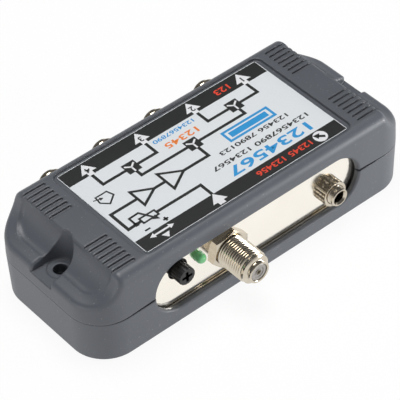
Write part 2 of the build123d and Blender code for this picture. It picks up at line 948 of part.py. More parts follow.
write("supply_capacitor", supply_capacitor())
write("voltage_regulator", voltage_regulator())
write("input_transistor", transistor(input_transistor_shares))
write("output_transistor", transistor(output_transistor_shares))
for index, place in enumerate((-1, 0, 1)):
    write("splitter_core_" + str(index + 1), splitter_core(place))
write("supply_choke", supply_choke())
write("chip_resistors", chips(resistor_shares, resistor_chip_height))
write("chip_capacitors", chips(capacitor_chip_shares, capacitor_chip_height))
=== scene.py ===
import math

import bmesh
import bpy
from mathutils import Matrix, Vector


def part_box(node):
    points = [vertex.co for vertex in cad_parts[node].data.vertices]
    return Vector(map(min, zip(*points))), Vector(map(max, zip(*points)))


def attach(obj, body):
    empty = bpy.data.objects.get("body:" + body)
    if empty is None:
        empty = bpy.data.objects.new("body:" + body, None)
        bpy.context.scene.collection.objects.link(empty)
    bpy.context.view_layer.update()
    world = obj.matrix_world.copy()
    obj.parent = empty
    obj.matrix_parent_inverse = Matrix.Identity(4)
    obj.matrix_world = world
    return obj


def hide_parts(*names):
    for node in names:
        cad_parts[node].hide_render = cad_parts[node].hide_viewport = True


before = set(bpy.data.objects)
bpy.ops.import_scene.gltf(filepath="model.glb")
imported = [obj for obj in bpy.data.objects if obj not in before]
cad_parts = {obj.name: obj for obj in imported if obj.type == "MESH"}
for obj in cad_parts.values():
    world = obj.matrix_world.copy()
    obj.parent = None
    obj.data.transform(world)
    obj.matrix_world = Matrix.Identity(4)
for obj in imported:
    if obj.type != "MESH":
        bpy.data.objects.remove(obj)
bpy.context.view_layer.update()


# Lower shell
# The lower half of the case, injection moulded in dark grey ABS whose tool was spark eroded,
# which leaves a fine satin grain. Four screws from below hold it to the upper shell.
mm = 0.001
same_place = 0.01 * mm


def linear(code):
    """An sRGB hex colour as the linear one that a shader takes."""
    parts = [int(code[place:place + 2], 16) / 255 for place in (1, 3, 5)]
    parts = [part / 12.92 if part <= 0.04045 else ((part + 0.055) / 1.055) ** 2.4 for part in parts]
    return parts + [1]


def add(tree, kind, settings={}, links={}):
    """Adds a node with its settings and what feeds its inputs."""
    node = tree.nodes.new(kind)
    for name, value in settings.items():
        if isinstance(name, str) and hasattr(node, name):
            setattr(node, name, value)
        else:
            node.inputs[name].default_value = value
    for name, source in links.items():
        tree.links.new(source, node.inputs[name])
    return node


def new_material(name):
    """An empty material and its node tree."""
    material = bpy.data.materials.new(name)
    material.use_nodes = True
    material.node_tree.nodes.clear()
    return material, material.node_tree


def finish(form, name, material, body="amplifier", replaces=(), sharp=32):
    """Makes an object of a form, smooth up to an angle, and gives it its material and body."""
    mesh = bpy.data.meshes.new(name)
    form.normal_update()
    for face in form.faces:
        face.smooth = True
    for edge in form.edges:
        edge.smooth = edge.calc_face_angle(0) < math.radians(sharp)
    form.to_mesh(mesh)
    form.free()
    mesh.materials.append(material)
    piece = bpy.data.objects.new(name, mesh)
    bpy.context.scene.collection.objects.link(piece)
    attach(piece, body)
    if replaces:
        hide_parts(*replaces)


def joined_form(node):
    """A copy of a solid's mesh with its triangles joined."""
    form = bmesh.new()
    form.from_mesh(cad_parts[node].data)
    for layer in list(form.loops.layers.float_vector.values()):
        form.loops.layers.float_vector.remove(layer)
    bmesh.ops.remove_doubles(form, verts=form.verts, dist=0.002 * mm)
    return form


# Grained ABS: a slate grey, satin, that lightens wherever a softened edge turns to the light.
# The spark-eroded grain is about 0.1 mm, drawn at 0.3 mm so that it shows. The cloudiness over
# 15 mm is the flow of the melt, and the few pale specks are lint caught in the grain.
grained_abs, tree = new_material("grained_abs")
place = add(tree, "ShaderNodeTexCoord")
grain = add(tree, "ShaderNodeTexNoise", {"Scale": 1 / (0.3 * mm), "Detail": 2.0},
            {"Vector": place.outputs["Object"]})
cloud = add(tree, "ShaderNodeTexNoise", {"Scale": 1 / (15 * mm), "Detail": 3.0},
            {"Vector": place.outputs["Object"]})
tone = add(tree, "ShaderNodeMix",
           {"data_type": "RGBA", 6: linear("#4C5057"), 7: linear("#575B62")},
           {0: cloud.outputs[0]})
lint = add(tree, "ShaderNodeTexNoise", {"Scale": 1 / (0.45 * mm), "Detail": 0.0},
           {"Vector": place.outputs["Object"]})
speck = add(tree, "ShaderNodeMapRange", {"From Min": 0.78, "From Max": 0.82, "To Max": 0.25},
            {"Value": lint.outputs[0]})
dusted = add(tree, "ShaderNodeMix", {"data_type": "RGBA", 7: linear("#A9ABAD")},
             {0: speck.outputs[0], 6: tone.outputs[2]})
satin = add(tree, "ShaderNodeMapRange", {"To Min": 0.38, "To Max": 0.54},
            {"Value": grain.outputs[0]})
soft_edge = add(tree, "ShaderNodeBevel", {"samples": 8, "Radius": 0.8 * mm})
bump = add(tree, "ShaderNodeBump", {"Strength": 0.4, "Distance": 0.03 * mm},
           {"Height": grain.outputs[0], "Normal": soft_edge.outputs[0]})
skin = add(tree, "ShaderNodeBsdfPrincipled", {"IOR": 1.6},
           {"Base Color": dusted.outputs[2], "Roughness": satin.outputs[0],
            "Normal": bump.outputs[0]})
add(tree, "ShaderNodeOutputMaterial", {}, {"Surface": skin.outputs[0]})

finish(joined_form("bottom_shell"), "lower_shell", grained_abs,
       replaces=["bottom_shell"])


# Shield box
# A folded strip of tinned steel 0.5 mm thick makes the four walls, and two shallow pressed lids
# grip them. The tin is bright as rolled, so it mirrors the ledge below it and the port's nut.
outer_flare = 0.1 * mm
inner_flare = 0.2 * mm


def dress(material, *nodes):
    """Gives solids that stay as they are their material."""
    for name in nodes:
        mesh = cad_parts[name].data
        mesh.materials.clear()
        mesh.materials.append(material)


# Rolled tin plate: creamy white and nearly a mirror. Faint streaks 0.5 mm apart run along it
# from rolling, and duller clouds about 12 mm across are where fingers touched it.
tin_plate, tree = new_material("tin_plate")
place = add(tree, "ShaderNodeTexCoord")
along = add(tree, "ShaderNodeMapping", {"Scale": (0.04, 1, 1)}, {"Vector": place.outputs["Object"]})
streak = add(tree, "ShaderNodeTexNoise", {"Scale": 1 / (0.5 * mm), "Detail": 2.0},
             {"Vector": along.outputs[0]})
touch = add(tree, "ShaderNodeTexNoise", {"Scale": 1 / (12 * mm), "Detail": 2.0},
            {"Vector": place.outputs["Object"]})
tone = add(tree, "ShaderNodeMix",
           {"data_type": "RGBA", 6: linear("#F4EEE2"), 7: linear("#FCF7EE")},
           {0: touch.outputs[0]})
sheen = add(tree, "ShaderNodeMapRange",
            {"From Min": 0.3, "From Max": 0.7, "To Min": 0.08, "To Max": 0.16},
            {"Value": touch.outputs[0]})
bump = add(tree, "ShaderNodeBump", {"Strength": 0.25, "Distance": 0.003 * mm},
           {"Height": streak.outputs[0]})
tinned = add(tree, "ShaderNodeBsdfPrincipled", {"Metallic": 1.0},
             {"Base Color": tone.outputs[2], "Roughness": sheen.outputs[0],
              "Normal": bump.outputs[0]})
add(tree, "ShaderNodeOutputMaterial", {}, {"Surface": tinned.outputs[0]})

dress(tin_plate, "shield_frame")
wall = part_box("shield_frame")[1]
for lid in ("shield_bottom_lid", "shield_top_lid"):
    form = joined_form(lid)
    low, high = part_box(lid)
    edge_height = high.z if lid == "shield_bottom_lid" else low.z
    # The pressed edge flares a little, which leaves a dark slit between it and the wall.
    for vert in form.verts:
        if abs(vert.co.z - edge_height) < same_place:
            for axis in (0, 1):
                reach = abs(vert.co[axis])
                if reach > wall[axis] - same_place:
                    flare = inner_flare if reach < wall[axis] + same_place else outer_flare
                    vert.co[axis] += math.copysign(flare, vert.co[axis])
    finish(form, lid.replace("shield", "tinned"), tin_plate, replaces=[lid])


# Circuit board and its parts
# A glass-epoxy board under green solder resist, on four tabs of the frame. Nothing of it shows
# from outside, so its parts keep their solids' plain shapes.
def grained(name, light, dark, roughness, grain_mm, relief_mm, **principled):
    """A stuff whose tone, roughness and relief all follow one grain of a real size."""
    material, tree = new_material(name)
    place = add(tree, "ShaderNodeTexCoord")
    grain = add(tree, "ShaderNodeTexNoise", {"Scale": 1 / (grain_mm * mm), "Detail": 3.0},
                {"Vector": place.outputs["Object"]})
    tone = add(tree, "ShaderNodeMix", {"data_type": "RGBA", 6: linear(dark), 7: linear(light)},
               {0: grain.outputs[0]})
    sheen = add(tree, "ShaderNodeMapRange", {"To Min": roughness * 0.8, "To Max": roughness * 1.25},
                {"Value": grain.outputs[0]})
    bump = add(tree, "ShaderNodeBump", {"Strength": 0.4, "Distance": relief_mm * mm},
               {"Height": grain.outputs[0]})
    body = add(tree, "ShaderNodeBsdfPrincipled", principled,
               {"Base Color": tone.outputs[2], "Roughness": sheen.outputs[0],
                "Normal": bump.outputs[0]})
    add(tree, "ShaderNodeOutputMaterial", {}, {"Surface": body.outputs[0]})
    return material


# Solder resist shows the glass weave under it as a mottle 1.2 mm across.
solder_resist = grained("solder_resist", "#1F5C38", "#174A2C", 0.3, 1.2, 0.02, IOR=1.5)
# Moulded epoxy is matte from its release agent, and ferrite is dull from sintering.
moulded_epoxy = grained("moulded_epoxy", "#2A2A2C", "#1E1E20", 0.5, 0.2, 0.01, IOR=1.5)
sintered_ferrite = grained("sintered_ferrite", "#46423F", "#33302E", 0.6, 0.15, 0.015, IOR=2.0)
# A shrunk vinyl sleeve has a soft gloss, and fired ceramic a fine tan grain.
vinyl_sleeve = grained("vinyl_sleeve", "#23304A", "#1B2639", 0.35, 0.8, 0.01, IOR=1.52)
fired_ceramic = grained("fired_ceramic", "#B39A7C", "#9D8568", 0.5, 0.2, 0.01, IOR=1.7)
# Hot-tinned wire is silvery with a lumpy bloom.
tinned_wire = grained("tinned_wire", "#DADADA", "#C9C9C8", 0.25, 0.4, 0.005, Metallic=1.0)
dress(solder_resist, "circuit_board")
dress(moulded_epoxy, "voltage_regulator", "input_transistor", "output_transistor")
dress(vinyl_sleeve, "supply_capacitor")
dress(sintered_ferrite, "splitter_core_1", "splitter_core_2", "splitter_core_3", "supply_choke")
dress(fired_ceramic, "chip_resistors", "chip_capacitors")
dress(tinned_wire, "status_light_leads", "gain_trimmer_pins", "power_socket_lugs")


# Coaxial ports
# Five turned brass bodies with a 32 to the inch thread, nickel plated, each with a plastic core
# round a sprung centre contact. A hexagon nut clamps each to the box's wall. Heights are in
# millimetres from the wall, outwards.
thread_radius = 4.7625
thread_pitch = 0.794
thread_depth = 0.42
thread_start = 1.4
plain_nose = 1.9
barrel_end = -5.5
port_bore = 2.7
input_reach, output_reach = 11.6, 10.5
nut_size = {"across": 11, "thickness": 1.5, "bore": 4.65}
nut_cone_slope = 0.5
input_nut_turn = -15
round_steps = 72


def turned(profile, steps=round_steps, closed=True):
    """A form turned about the local +Z axis from points of radius and height in millimetres."""
    form = bmesh.new()
    points = [form.verts.new((radius * mm, 0, height * mm)) for radius, height in profile]
    ends = points[1:] + points[:1] if closed else points[1:]
    edges = [form.edges.new(pair) for pair in zip(points, ends)]
    bmesh.ops.spin(form, geom=points + edges, axis=(0, 0, 1), angle=2 * math.pi, steps=steps,
                   use_merge=True)
    bmesh.ops.remove_doubles(form, verts=form.verts, dist=0.0005 * mm)
    bmesh.ops.recalc_face_normals(form, faces=form.faces)
    return form


def face_out(form, x, height, facing):
    """Sets a form, drawn outwards along +Z, on the shield box's front (-1) or back (1) wall."""
    turn = Matrix(((-facing, 0, 0, x),
                   (0, 0, facing, facing * wall.y),
                   (0, 1, 0, height),
                   (0, 0, 0, 1)))
    bmesh.ops.transform(form, matrix=turn, verts=form.verts)
    return form


def port_shell(tip):
    """The port's turned body: rear barrel, neck, thread, chamfered nose and collar."""
    root, rounded = thread_radius - thread_depth, thread_radius - 0.05
    profile = [(port_bore, barrel_end), (5.7, barrel_end), (5.7, -0.5), (4.5, -0.5), (4.5, 1.35)]
    height = thread_start
    while height < tip - plain_nose:
        profile += [(root, height),
                    (rounded, height + 0.3 * thread_pitch),
                    (thread_radius, height + 0.38 * thread_pitch),
                    (rounded, height + 0.46 * thread_pitch),
                    (root, height + 0.76 * thread_pitch)]
        height += thread_pitch
    nose = thread_radius - 0.35
    profile += [(root, height + 0.1), (nose, height + 0.25), (nose, tip - 0.5), (3.75, tip)]
    profile += [(3.3, tip + 0.03), (3.2, tip + 0.12), (3.2, tip + 0.45), (3.35, tip + 0.55)]
    profile += [(3.35, tip + 1.05), (3.2, tip + 1.2), (2.85, tip + 1.2), (port_bore, tip + 1.08)]
    return turned(profile)


def port_core(tip):
    """The plastic core: a dished face with a lip round the contact's hole."""
    face = tip + 0.9
    profile = [(port_bore, barrel_end), (port_bore, face - 0.2), (2.4, face), (1.7, face)]
    profile += [(1.6, face - 0.2), (1.0, face - 0.2), (0.9, face), (0.6, face)]
    profile += [(0.4, face - 0.3), (0.75, face - 0.8), (0.75, barrel_end)]
    return turned(profile)


def ring(form, radius, height, segments, sides=0):
    """A ring of edges at a height, or where sides are given a polygon of that many cut up."""
    verts = bmesh.ops.create_circle(form, radius=radius * mm, segments=sides or segments)["verts"]
    edges = list({edge for vert in verts for edge in vert.link_edges})
    if sides:
        cut = bmesh.ops.subdivide_edges(form, edges=edges, cuts=segments // sides - 1)
        edges = [item for item in cut["geom"] if isinstance(item, bmesh.types.BMEdge)]
        verts = list({vert for edge in edges for vert in edge.verts})
    for vert in verts:
        vert.co.z = height * mm
    return verts, edges


def bridged(form, loops):
    """Joins rings of edges one after another into a closed skin."""
    for first, second in zip(loops, loops[1:] + loops[:1]):
        bmesh.ops.bridge_loops(form, edges=first + second)
    bmesh.ops.recalc_face_normals(form, faces=form.faces)
    return form


def hexagon_nut(across, thickness, bore):
    """A hexagon nut whose front corners a cone has turned down."""
    form = bmesh.new()
    corner = across / math.sqrt(3)
    turned_to = across / 2 - 0.05
    low_edges = ring(form, corner, 0, round_steps, 6)[1]
    high, high_edges = ring(form, corner, thickness, round_steps, 6)
    for vert in high:
        beyond = max(0, vert.co.xy.length / mm - turned_to)
        vert.co.z -= nut_cone_slope * beyond * mm
    loops = [low_edges, high_edges, ring(form, turned_to, thickness, round_steps)[1]]
    for radius, height in ((bore + 0.1, thickness), (bore, thickness - 0.1), (bore, 0)):
        loops.append(ring(form, radius, height, round_steps)[1])
    return bridged(form, loops)


# Bright nickel on turned brass: a warm grey mirror. The lathe leaves fine rings round each
# piece, drawn 0.15 mm apart so that they show, and handling leaves duller patches.
bright_nickel, tree = new_material("bright_nickel")
place = add(tree, "ShaderNodeTexCoord")
across = add(tree, "ShaderNodeMapping", {"Scale": (0.03, 1, 0.03)},
             {"Vector": place.outputs["Object"]})
rings = add(tree, "ShaderNodeTexNoise", {"Scale": 1 / (0.15 * mm), "Detail": 1.0},
            {"Vector": across.outputs[0]})
patch = add(tree, "ShaderNodeTexNoise", {"Scale": 1 / (1.6 * mm), "Detail": 3.0},
            {"Vector": place.outputs["Object"]})
tone = add(tree, "ShaderNodeMix",
           {"data_type": "RGBA", 6: linear("#BEB4A2"), 7: linear("#DAD1C2")},
           {0: patch.outputs[0]})
sheen = add(tree, "ShaderNodeMapRange", {"To Min": 0.09, "To Max": 0.22},
            {"Value": patch.outputs[0]})
bump = add(tree, "ShaderNodeBump", {"Strength": 0.3, "Distance": 0.004 * mm},
           {"Height": rings.outputs[0]})
plated = add(tree, "ShaderNodeBsdfPrincipled", {"Metallic": 1.0},
             {"Base Color": tone.outputs[2], "Roughness": sheen.outputs[0],
              "Normal": bump.outputs[0]})
add(tree, "ShaderNodeOutputMaterial", {}, {"Surface": plated.outputs[0]})
# Natural polyethylene: a milky grey-white, a little waxy.
milky_core = grained("milky_core", "#A8A4A0", "#908C88", 0.4, 0.6, 0.01, IOR=1.5)
# Phosphor bronze under thin silver: dull and yellowish, and dark down inside the core.
plated_contact = grained("plated_contact", "#A99C80", "#8F8368", 0.3, 0.4, 0.004, Metallic=1.0)

ports = [("input", -1, input_reach, input_nut_turn)]
ports += [("output_" + str(number), 1, output_reach, 0) for number in (1, 2, 3, 4)]
for port, facing, tip, nut_turn in ports:
    low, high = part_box(port + "_connector_body")
    x, height = (low.x + high.x) / 2, (low.z + high.z) / 2
    shell = face_out(port_shell(tip), x, height, facing)
    finish(shell, port + "_port_shell", bright_nickel,
           replaces=[port + "_connector_body"], sharp=40)
    core = face_out(port_core(tip), x, height, facing)
    finish(core, port + "_port_core", milky_core,
           replaces=[port + "_connector_insulator"])
    dress(plated_contact, port + "_connector_contact")
    nut = hexagon_nut(**nut_size)
    turn = Matrix.Rotation(math.radians(nut_turn), 3, "Z")
    bmesh.ops.rotate(nut, matrix=turn, verts=nut.verts)
    nut = face_out(nut, x, height, facing)
    names = ["connector_nuts"] if port == "input" else []
    finish(nut, port + "_port_nut", bright_nickel, replaces=names, sharp=20)


# Power socket
# A small round socket for a 3.5 mm plug: a nickel-plated bushing with its knurled nut outside
# the panel, a black moulded block behind it and a sprung contact along the bottom.
socket_pitch = 0.35
ridge_depth = 0.55
ridge_steps = 4
low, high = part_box("power_socket_bushing")
socket_x, socket_height = (low.x + high.x) / 2, (low.z + high.z) / 2
profile = [(1.8, -1.3), (3.8, -1.3), (3.8, -0.5), (2.8, -0.5), (2.8, 2.4)]
for turn in range(4):
    profile += [(2.68, 2.5 + socket_pitch * turn), (2.8, 2.67 + socket_pitch * turn)]
profile += [(2.8, 4.1), (2.6, 4.4), (2.25, 4.4), (1.8, 3.8)]
bushing = face_out(turned(profile, 64), socket_x, socket_height, -1)
finish(bushing, "socket_bushing", bright_nickel,
       replaces=["power_socket_bushing"], sharp=25)


def knurled_nut(radius, thickness, bore, ridges):
    """A round nut with straight ridges, a groove about its middle and a plain front lip."""
    form = bmesh.new()
    loops = []
    # Each step: share of the thickness, how far in it is turned, whether it is ridged.
    back = [(0, 0.3, False), (0.08, 0.05, True), (0.44, 0.0, True)]
    groove = [(0.46, ridge_depth, False), (0.54, ridge_depth, False)]
    front = [(0.56, 0.0, True), (0.84, 0.0, True), (0.86, 0.3, False)]
    lip = [(0.9, 0.12, False), (0.98, 0.12, False), (1, 0.25, False)]
    for share, drop, ridged in back + groove + front + lip:
        verts, edges = ring(form, radius - drop, share * thickness, ridges * ridge_steps)
        for index, vert in enumerate(verts):
            if ridged and index % ridge_steps in (0, 1):
                vert.co.xy *= (radius - ridge_depth) / (radius - drop)
        loops.append(edges)
    for inner_radius, height in ((bore + 0.2, thickness), (bore, thickness - 0.2), (bore, 0)):
        loops.append(ring(form, inner_radius, height, ridges * ridge_steps)[1])
    return bridged(form, loops)


nut = knurled_nut(radius=3.95, thickness=2.5, bore=2.85, ridges=18)
nut = face_out(nut, socket_x, socket_height, -1)
finish(nut, "socket_nut", bright_nickel, replaces=["power_socket_nut"], sharp=22)
# Black phenolic: matte inside, so the bore reads as a dark hole.
black_phenolic = grained("black_phenolic", "#1B1A19", "#121110", 0.55, 0.3, 0.01, IOR=1.6)
dress(black_phenolic, "power_socket_housing")
dress(tinned_wire, "power_socket_spring")


# Status light
# A 3 mm green light, cast in tinted epoxy round two tinned leads that are soldered to the board.
# Its domed end stands out through a hole in the wall.
light_radius = 1.5
dome_start = 1.1
low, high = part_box("status_light")
light_x, light_height = (low.x + high.x) / 2, (low.z + high.z) / 2
profile = [(0, -1.5), (1.9, -1.5), (1.9, -0.55), (light_radius, -0.5)]
for angle in range(0, 90, 9):
    lean = math.radians(angle)
    profile.append((light_radius * math.cos(lean), dome_start + light_radius * math.sin(lean)))
lens = turned(profile + [(0, dome_start + light_radius)], 48, closed=False)
# Tinted epoxy, unlit: a soft green that the daylight let into it makes glow.
green_epoxy, tree = new_material("green_epoxy")
place = add(tree, "ShaderNodeTexCoord")
flow = add(tree, "ShaderNodeTexNoise", {"Scale": 1 / (1.2 * mm), "Detail": 2.0},
           {"Vector": place.outputs["Object"]})
tint = add(tree, "ShaderNodeMix",
           {"data_type": "RGBA", 6: linear("#6CCB83"), 7: linear("#A6E4B0")},
           {0: flow.outputs[0]})
clear = add(tree, "ShaderNodeBsdfPrincipled",
            {"IOR": 1.5, "Roughness": 0.15, "Subsurface Weight": 0.5,
             "Subsurface Radius": (0.4, 1.0, 0.5), "Subsurface Scale": 0.8 * mm},
            {"Base Color": tint.outputs[2]})
add(tree, "ShaderNodeOutputMaterial", {}, {"Surface": clear.outputs[0]})
finish(face_out(lens, light_x, light_height, -1), "status_lens", green_epoxy,
       replaces=["status_light"])


# Gain trimmer
# A black moulded shaft with fluted sides and a cross recess for a trimming tool. It comes out
# through a plain hole in the wall and turns in a block on the board.
flute_count = 16
flute_steps = 5
flute_lift = 1.12
# Black nylon: matte, and a little mottled from the mould.
black_nylon = grained("black_nylon", "#151413", "#0E0D0C", 0.52, 0.3, 0.02, IOR=1.53)
dress(black_nylon, "gain_trimmer_shaft", "gain_trimmer_housing")
low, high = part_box("gain_trimmer_shaft")
trimmer_x, trimmer_height = (low.x + high.x) / 2, (low.z + high.z) / 2
flutes = bmesh.new()
loops = []
for radius, height in ((2.35, 0.05), (2.38, 0.2), (2.38, 3.75), (2.3, 3.98)):
    verts, edges = ring(flutes, radius, height, flute_count * flute_steps)
    for index, vert in enumerate(verts):
        if index % flute_steps in (1, 2, 3):
            vert.co.xy *= flute_lift
    loops.append(edges)
for height in (3.98, 0.05):
    loops.append(ring(flutes, 2.2, height, flute_count * flute_steps)[1])
flutes = face_out(bridged(flutes, loops), trimmer_x, trimmer_height, -1)
finish(flutes, "trimmer_flutes", black_nylon, body="trimmer", sharp=40)


# Upper shell
# The upper half of the case, moulded in the same ABS: ends scooped out inside a raised rim, a
# channel over each wall screw, grip grooves, and a recess that takes the label.
long_wall = 21.4 * mm
gap_height = 0.8 * mm
gap_end = 52 * mm
gap_taper = 16 * mm
form = joined_form("top_shell")
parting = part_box("top_shell")[0].z
# The halves spring slightly apart beside the windows, which leaves an open line there.
for vert in form.verts:
    if abs(vert.co.z - parting) < same_place and abs(vert.co.y) > long_wall:
        vert.co.z += gap_height * min(1, max(0, (gap_end - abs(vert.co.x)) / gap_taper))
finish(form, "upper_shell", grained_abs, replaces=["top_shell"])


# Case screws
# Four self-tapping screws of zinc-plated steel, with cross recesses punched in their heads. They
# sit deep in holes underneath, and cut their own thread in the upper shell's bosses.
head_height = 4.0
head_radius = 2.7
slot_half_width = 0.4
slot_reach = 1.3
slot_depth = 0.8
# Zinc plate: a bluish grey, dulled by barrel finishing.
zinc_plate = grained("zinc_plate", "#B4B7BA", "#9C9FA3", 0.32, 0.3, 0.01, Metallic=1.0)
screw_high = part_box("case_screws")[1]
screw_x, screw_y = screw_high.x - head_radius * mm, screw_high.y - head_radius * mm
profile = [(0, head_height), (2.2, head_height), (2.55, 4.25), (head_radius, 4.7)]
profile += [(head_radius, 6.0), (1.45, 6.0), (1.45, 17.5), (0.5, 19.0), (0, 19.0)]
top = head_height * mm + same_place
for side_x, side_y in ((-1, -1), (-1, 1), (1, -1), (1, 1)):
    screw = turned(profile, 32, closed=False)
    for offset in (-slot_half_width, slot_half_width):
        for normal in (Vector((1, 0, 0)), Vector((0, 1, 0))):
            head = [face for face in screw.faces if face.calc_center_median().z < top]
            cut = head + list({edge for face in head for edge in face.edges})
            cut += list({vert for face in head for vert in face.verts})
            bmesh.ops.bisect_plane(screw, geom=cut, plane_co=normal * offset * mm, plane_no=normal)
    recess = []
    for face in screw.faces:
        middle = face.calc_center_median()
        near, far = sorted((abs(middle.x), abs(middle.y)))
        if middle.z < top and near < slot_half_width * mm and far < slot_reach * mm:
            recess.append(face)
    sunk = bmesh.ops.extrude_face_region(screw, geom=recess)["geom"]
    bmesh.ops.delete(screw, geom=recess, context="FACES")
    floor_verts = [item for item in sunk if isinstance(item, bmesh.types.BMVert)]
    bmesh.ops.translate(screw, vec=(0, 0, slot_depth * mm), verts=floor_verts)
    bmesh.ops.translate(screw, vec=(side_x * screw_x, side_y * screw_y, 0), verts=screw.verts)
    name = "case_screw_" + ("left" if side_x < 0 else "right")
    name += "_front" if side_y < 0 else "_back"
    names = ["case_screws"] if side_x + side_y == 2 else []
    finish(screw, name, zinc_plate, replaces=names)


# Label
# A silver-grey printed film 0.3 mm thick, stuck in the recess. A black band runs along each
# long side, with a circuit diagram and rows of plain figures printed between them.
label_corner = 0.6 * mm
film_low, film_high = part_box("top_label")
film = bmesh.new()
bmesh.ops.create_cube(film, size=1)
bmesh.ops.scale(film, vec=film_high - film_low, verts=film.verts)
bmesh.ops.translate(film, vec=(film_high + film_low) / 2, verts=film.verts)
upright_edges = []
for edge in film.edges:
    if abs(edge.verts[0].co.z - edge.verts[1].co.z) > 0.1 * mm:
        upright_edges.append(edge)
bmesh.ops.bevel(film, geom=upright_edges, offset=label_corner, segments=5, profile=0.5,
                affect="EDGES", material=-1)
# Polyester film under a satin varnish: a cool pale grey, faintly mottled.
silver_film = grained("silver_film", "#E7EBEE", "#E0E4E7", 0.38, 0.5, 0.004, IOR=1.5)
finish(film, "label_film", silver_film, replaces=["top_label"])

ink_layer = 0.012 * mm
figure_share = 0.72       # how much of a font's size its figures are high
figure_swell = 0.02       # how far the ink spreads past a figure's outline, in the font's size


def ink(name, material, patches=(), numbers=(), layer=1):
    """One pass of ink on the film: patches of corners, and numbers with their place and height."""
    form = bmesh.new()
    for patch in patches:
        form.faces.new([form.verts.new((x * mm, y * mm, 0)) for x, y in patch])
    for figures, x, y, height, stretch in numbers:
        curve = bpy.data.curves.new("figures", "FONT")
        curve.body = figures
        curve.align_x, curve.align_y = "CENTER", "CENTER"
        curve.offset = figure_swell
        drawn = bpy.data.objects.new("figures", curve)
        mesh = bpy.data.meshes.new_from_object(drawn)
        start = len(form.verts)
        form.from_mesh(mesh)
        form.verts.ensure_lookup_table()
        size = height * mm / figure_share
        turn = Matrix(((-size * stretch, 0, 0, x * mm),
                       (0, -size, 0, y * mm),
                       (0, 0, 1, 0),
                       (0, 0, 0, 1)))
        bmesh.ops.transform(form, matrix=turn, verts=form.verts[start:])
        bpy.data.objects.remove(drawn)
    bmesh.ops.remove_doubles(form, verts=form.verts, dist=0.001 * mm)
    bmesh.ops.translate(form, vec=(0, 0, film_high.z + layer * ink_layer), verts=form.verts)
    form.normal_update()
    bmesh.ops.reverse_faces(form, faces=[face for face in form.faces if face.normal.z < 0])
    finish(form, name, material)


def bar(left, right, low, high):
    """An upright rectangle of ink."""
    return [(left, low), (right, low), (right, high), (left, high)]


def stroke(points, width=0.95, closed=False):
    """The patches of a drawn line whose corners are mitred."""
    points = [Vector(point) for point in points]
    last = len(points) - 1
    sides = []
    for index, point in enumerate(points):
        before = point - points[index - 1] if closed or index else points[1] - point
        after = points[(index + 1) % len(points)] - point if closed or index < last else before
        first, second = (Vector((-run.y, run.x)).normalized() for run in (before, after))
        reach = (first + second) * width / 2 / (1 + first.dot(second))
        sides.append((point + reach, point - reach))
    ends = sides[1:] + sides[:1] if closed else sides[1:]
    return [[left, next_left, next_right, right]
            for (left, right), (next_left, next_right) in zip(sides, ends)]


# Screen inks: opaque, and a little glossier than the film.
black_ink = grained("black_ink", "#2A2C2B", "#222423", 0.34, 0.5, 0.004, IOR=1.5)
blue_ink = grained("blue_ink", "#359EDD", "#2C94D2", 0.34, 0.5, 0.004, IOR=1.5)
red_ink = grained("red_ink", "#EE4D35", "#E1452F", 0.34, 0.5, 0.004, IOR=1.5)
orange_ink = grained("orange_ink", "#F78939", "#EA8133", 0.34, 0.5, 0.004, IOR=1.5)
white_ink = grained("white_ink", "#EFF0F2", "#E8E9EC", 0.34, 0.5, 0.004, IOR=1.5)

ink("label_bands", black_ink, [bar(-34.8, 34.8, 13.5, 18.82), bar(-34.8, 34.8, -18.82, -13.9)])

# The diagram's lines run from the input, through the amplifiers and splitters, to the outputs.
wires = []
for run in (
    [(27, 13.5), (27, 8.7), (20.5, 8.7)],
    [(16.5, 8.7), (9.2, 8.7), (9.2, 13.5)],
    [(18.7, 7), (18.7, 4.4), (2.2, 4.4)],
    [(-1.6, 4.4), (-17.6, 4.4), (-17.6, 6.8)],
    [(-15.6, 8.5), (-9.1, 8.5), (-9.1, 13.5)],
    [(-19.6, 8.5), (-27.4, 8.5), (-27.4, 13.5)],
    [(0.4, 2.6), (0.4, -1.8), (-8.3, -1.8)],
    [(-14.9, -1.8), (-18.4, -1.8)],
    [(-24.6, -1.9), (-33.2, -1.9), (-33.2, -9.3), (-28.9, -9.1)],
    [(-23.6, -9.1), (-8.6, -9.1), (-8.6, -13.9)],
):
    wires += stroke(run)
ink("label_wires", black_ink, wires)
amplifiers = stroke([(-8.3, -1.8), (-14.5, 1.9), (-14.5, -5.5)], 0.8, closed=True)
amplifiers += stroke([(-18.4, -1.8), (-24.2, 1.4), (-24.2, -5.0)], 0.8, closed=True)
ink("label_amplifiers", black_ink, amplifiers, layer=2)
attenuator = stroke(bar(-28.7, -23.7, -10.1, -8.1)[::-1], 0.6, closed=True)
ink("label_attenuator", black_ink, attenuator, layer=2)
arrow = stroke([(-30.6, -9.2), (-30.6, -6.3), (-27.5, -6.2), (-25.4, -10.0)], 0.65)
arrow += [[(-24.4, -11.7), (-26.3, -10.4), (-24.6, -9.5)], bar(-31.1, -29.9, -9.9, -8.6)]
plus = [bar(-24.3, -22.7, -12.95, -12.4), bar(-23.8, -23.2, -13.45, -11.9)]
minus = [bar(-30.3, -28.6, -12.85, -12.3)]
ink("label_adjuster", black_ink, arrow + plus + minus, layer=3)
house = [(-32.2, 5.8), (-28.5, 5.8), (-27.8, 3.6), (-30.6, 1.5), (-32.5, 3.4)]
aerial = stroke(house, 0.5, closed=True) + stroke([(-33.4, 5.2), (-31.6, 4.6)], 0.35)
aerial.append([(-30.6, 4.4), (-31.5, 5.3), (-31.8, 4.0)])
ink("label_aerial", black_ink, aerial)

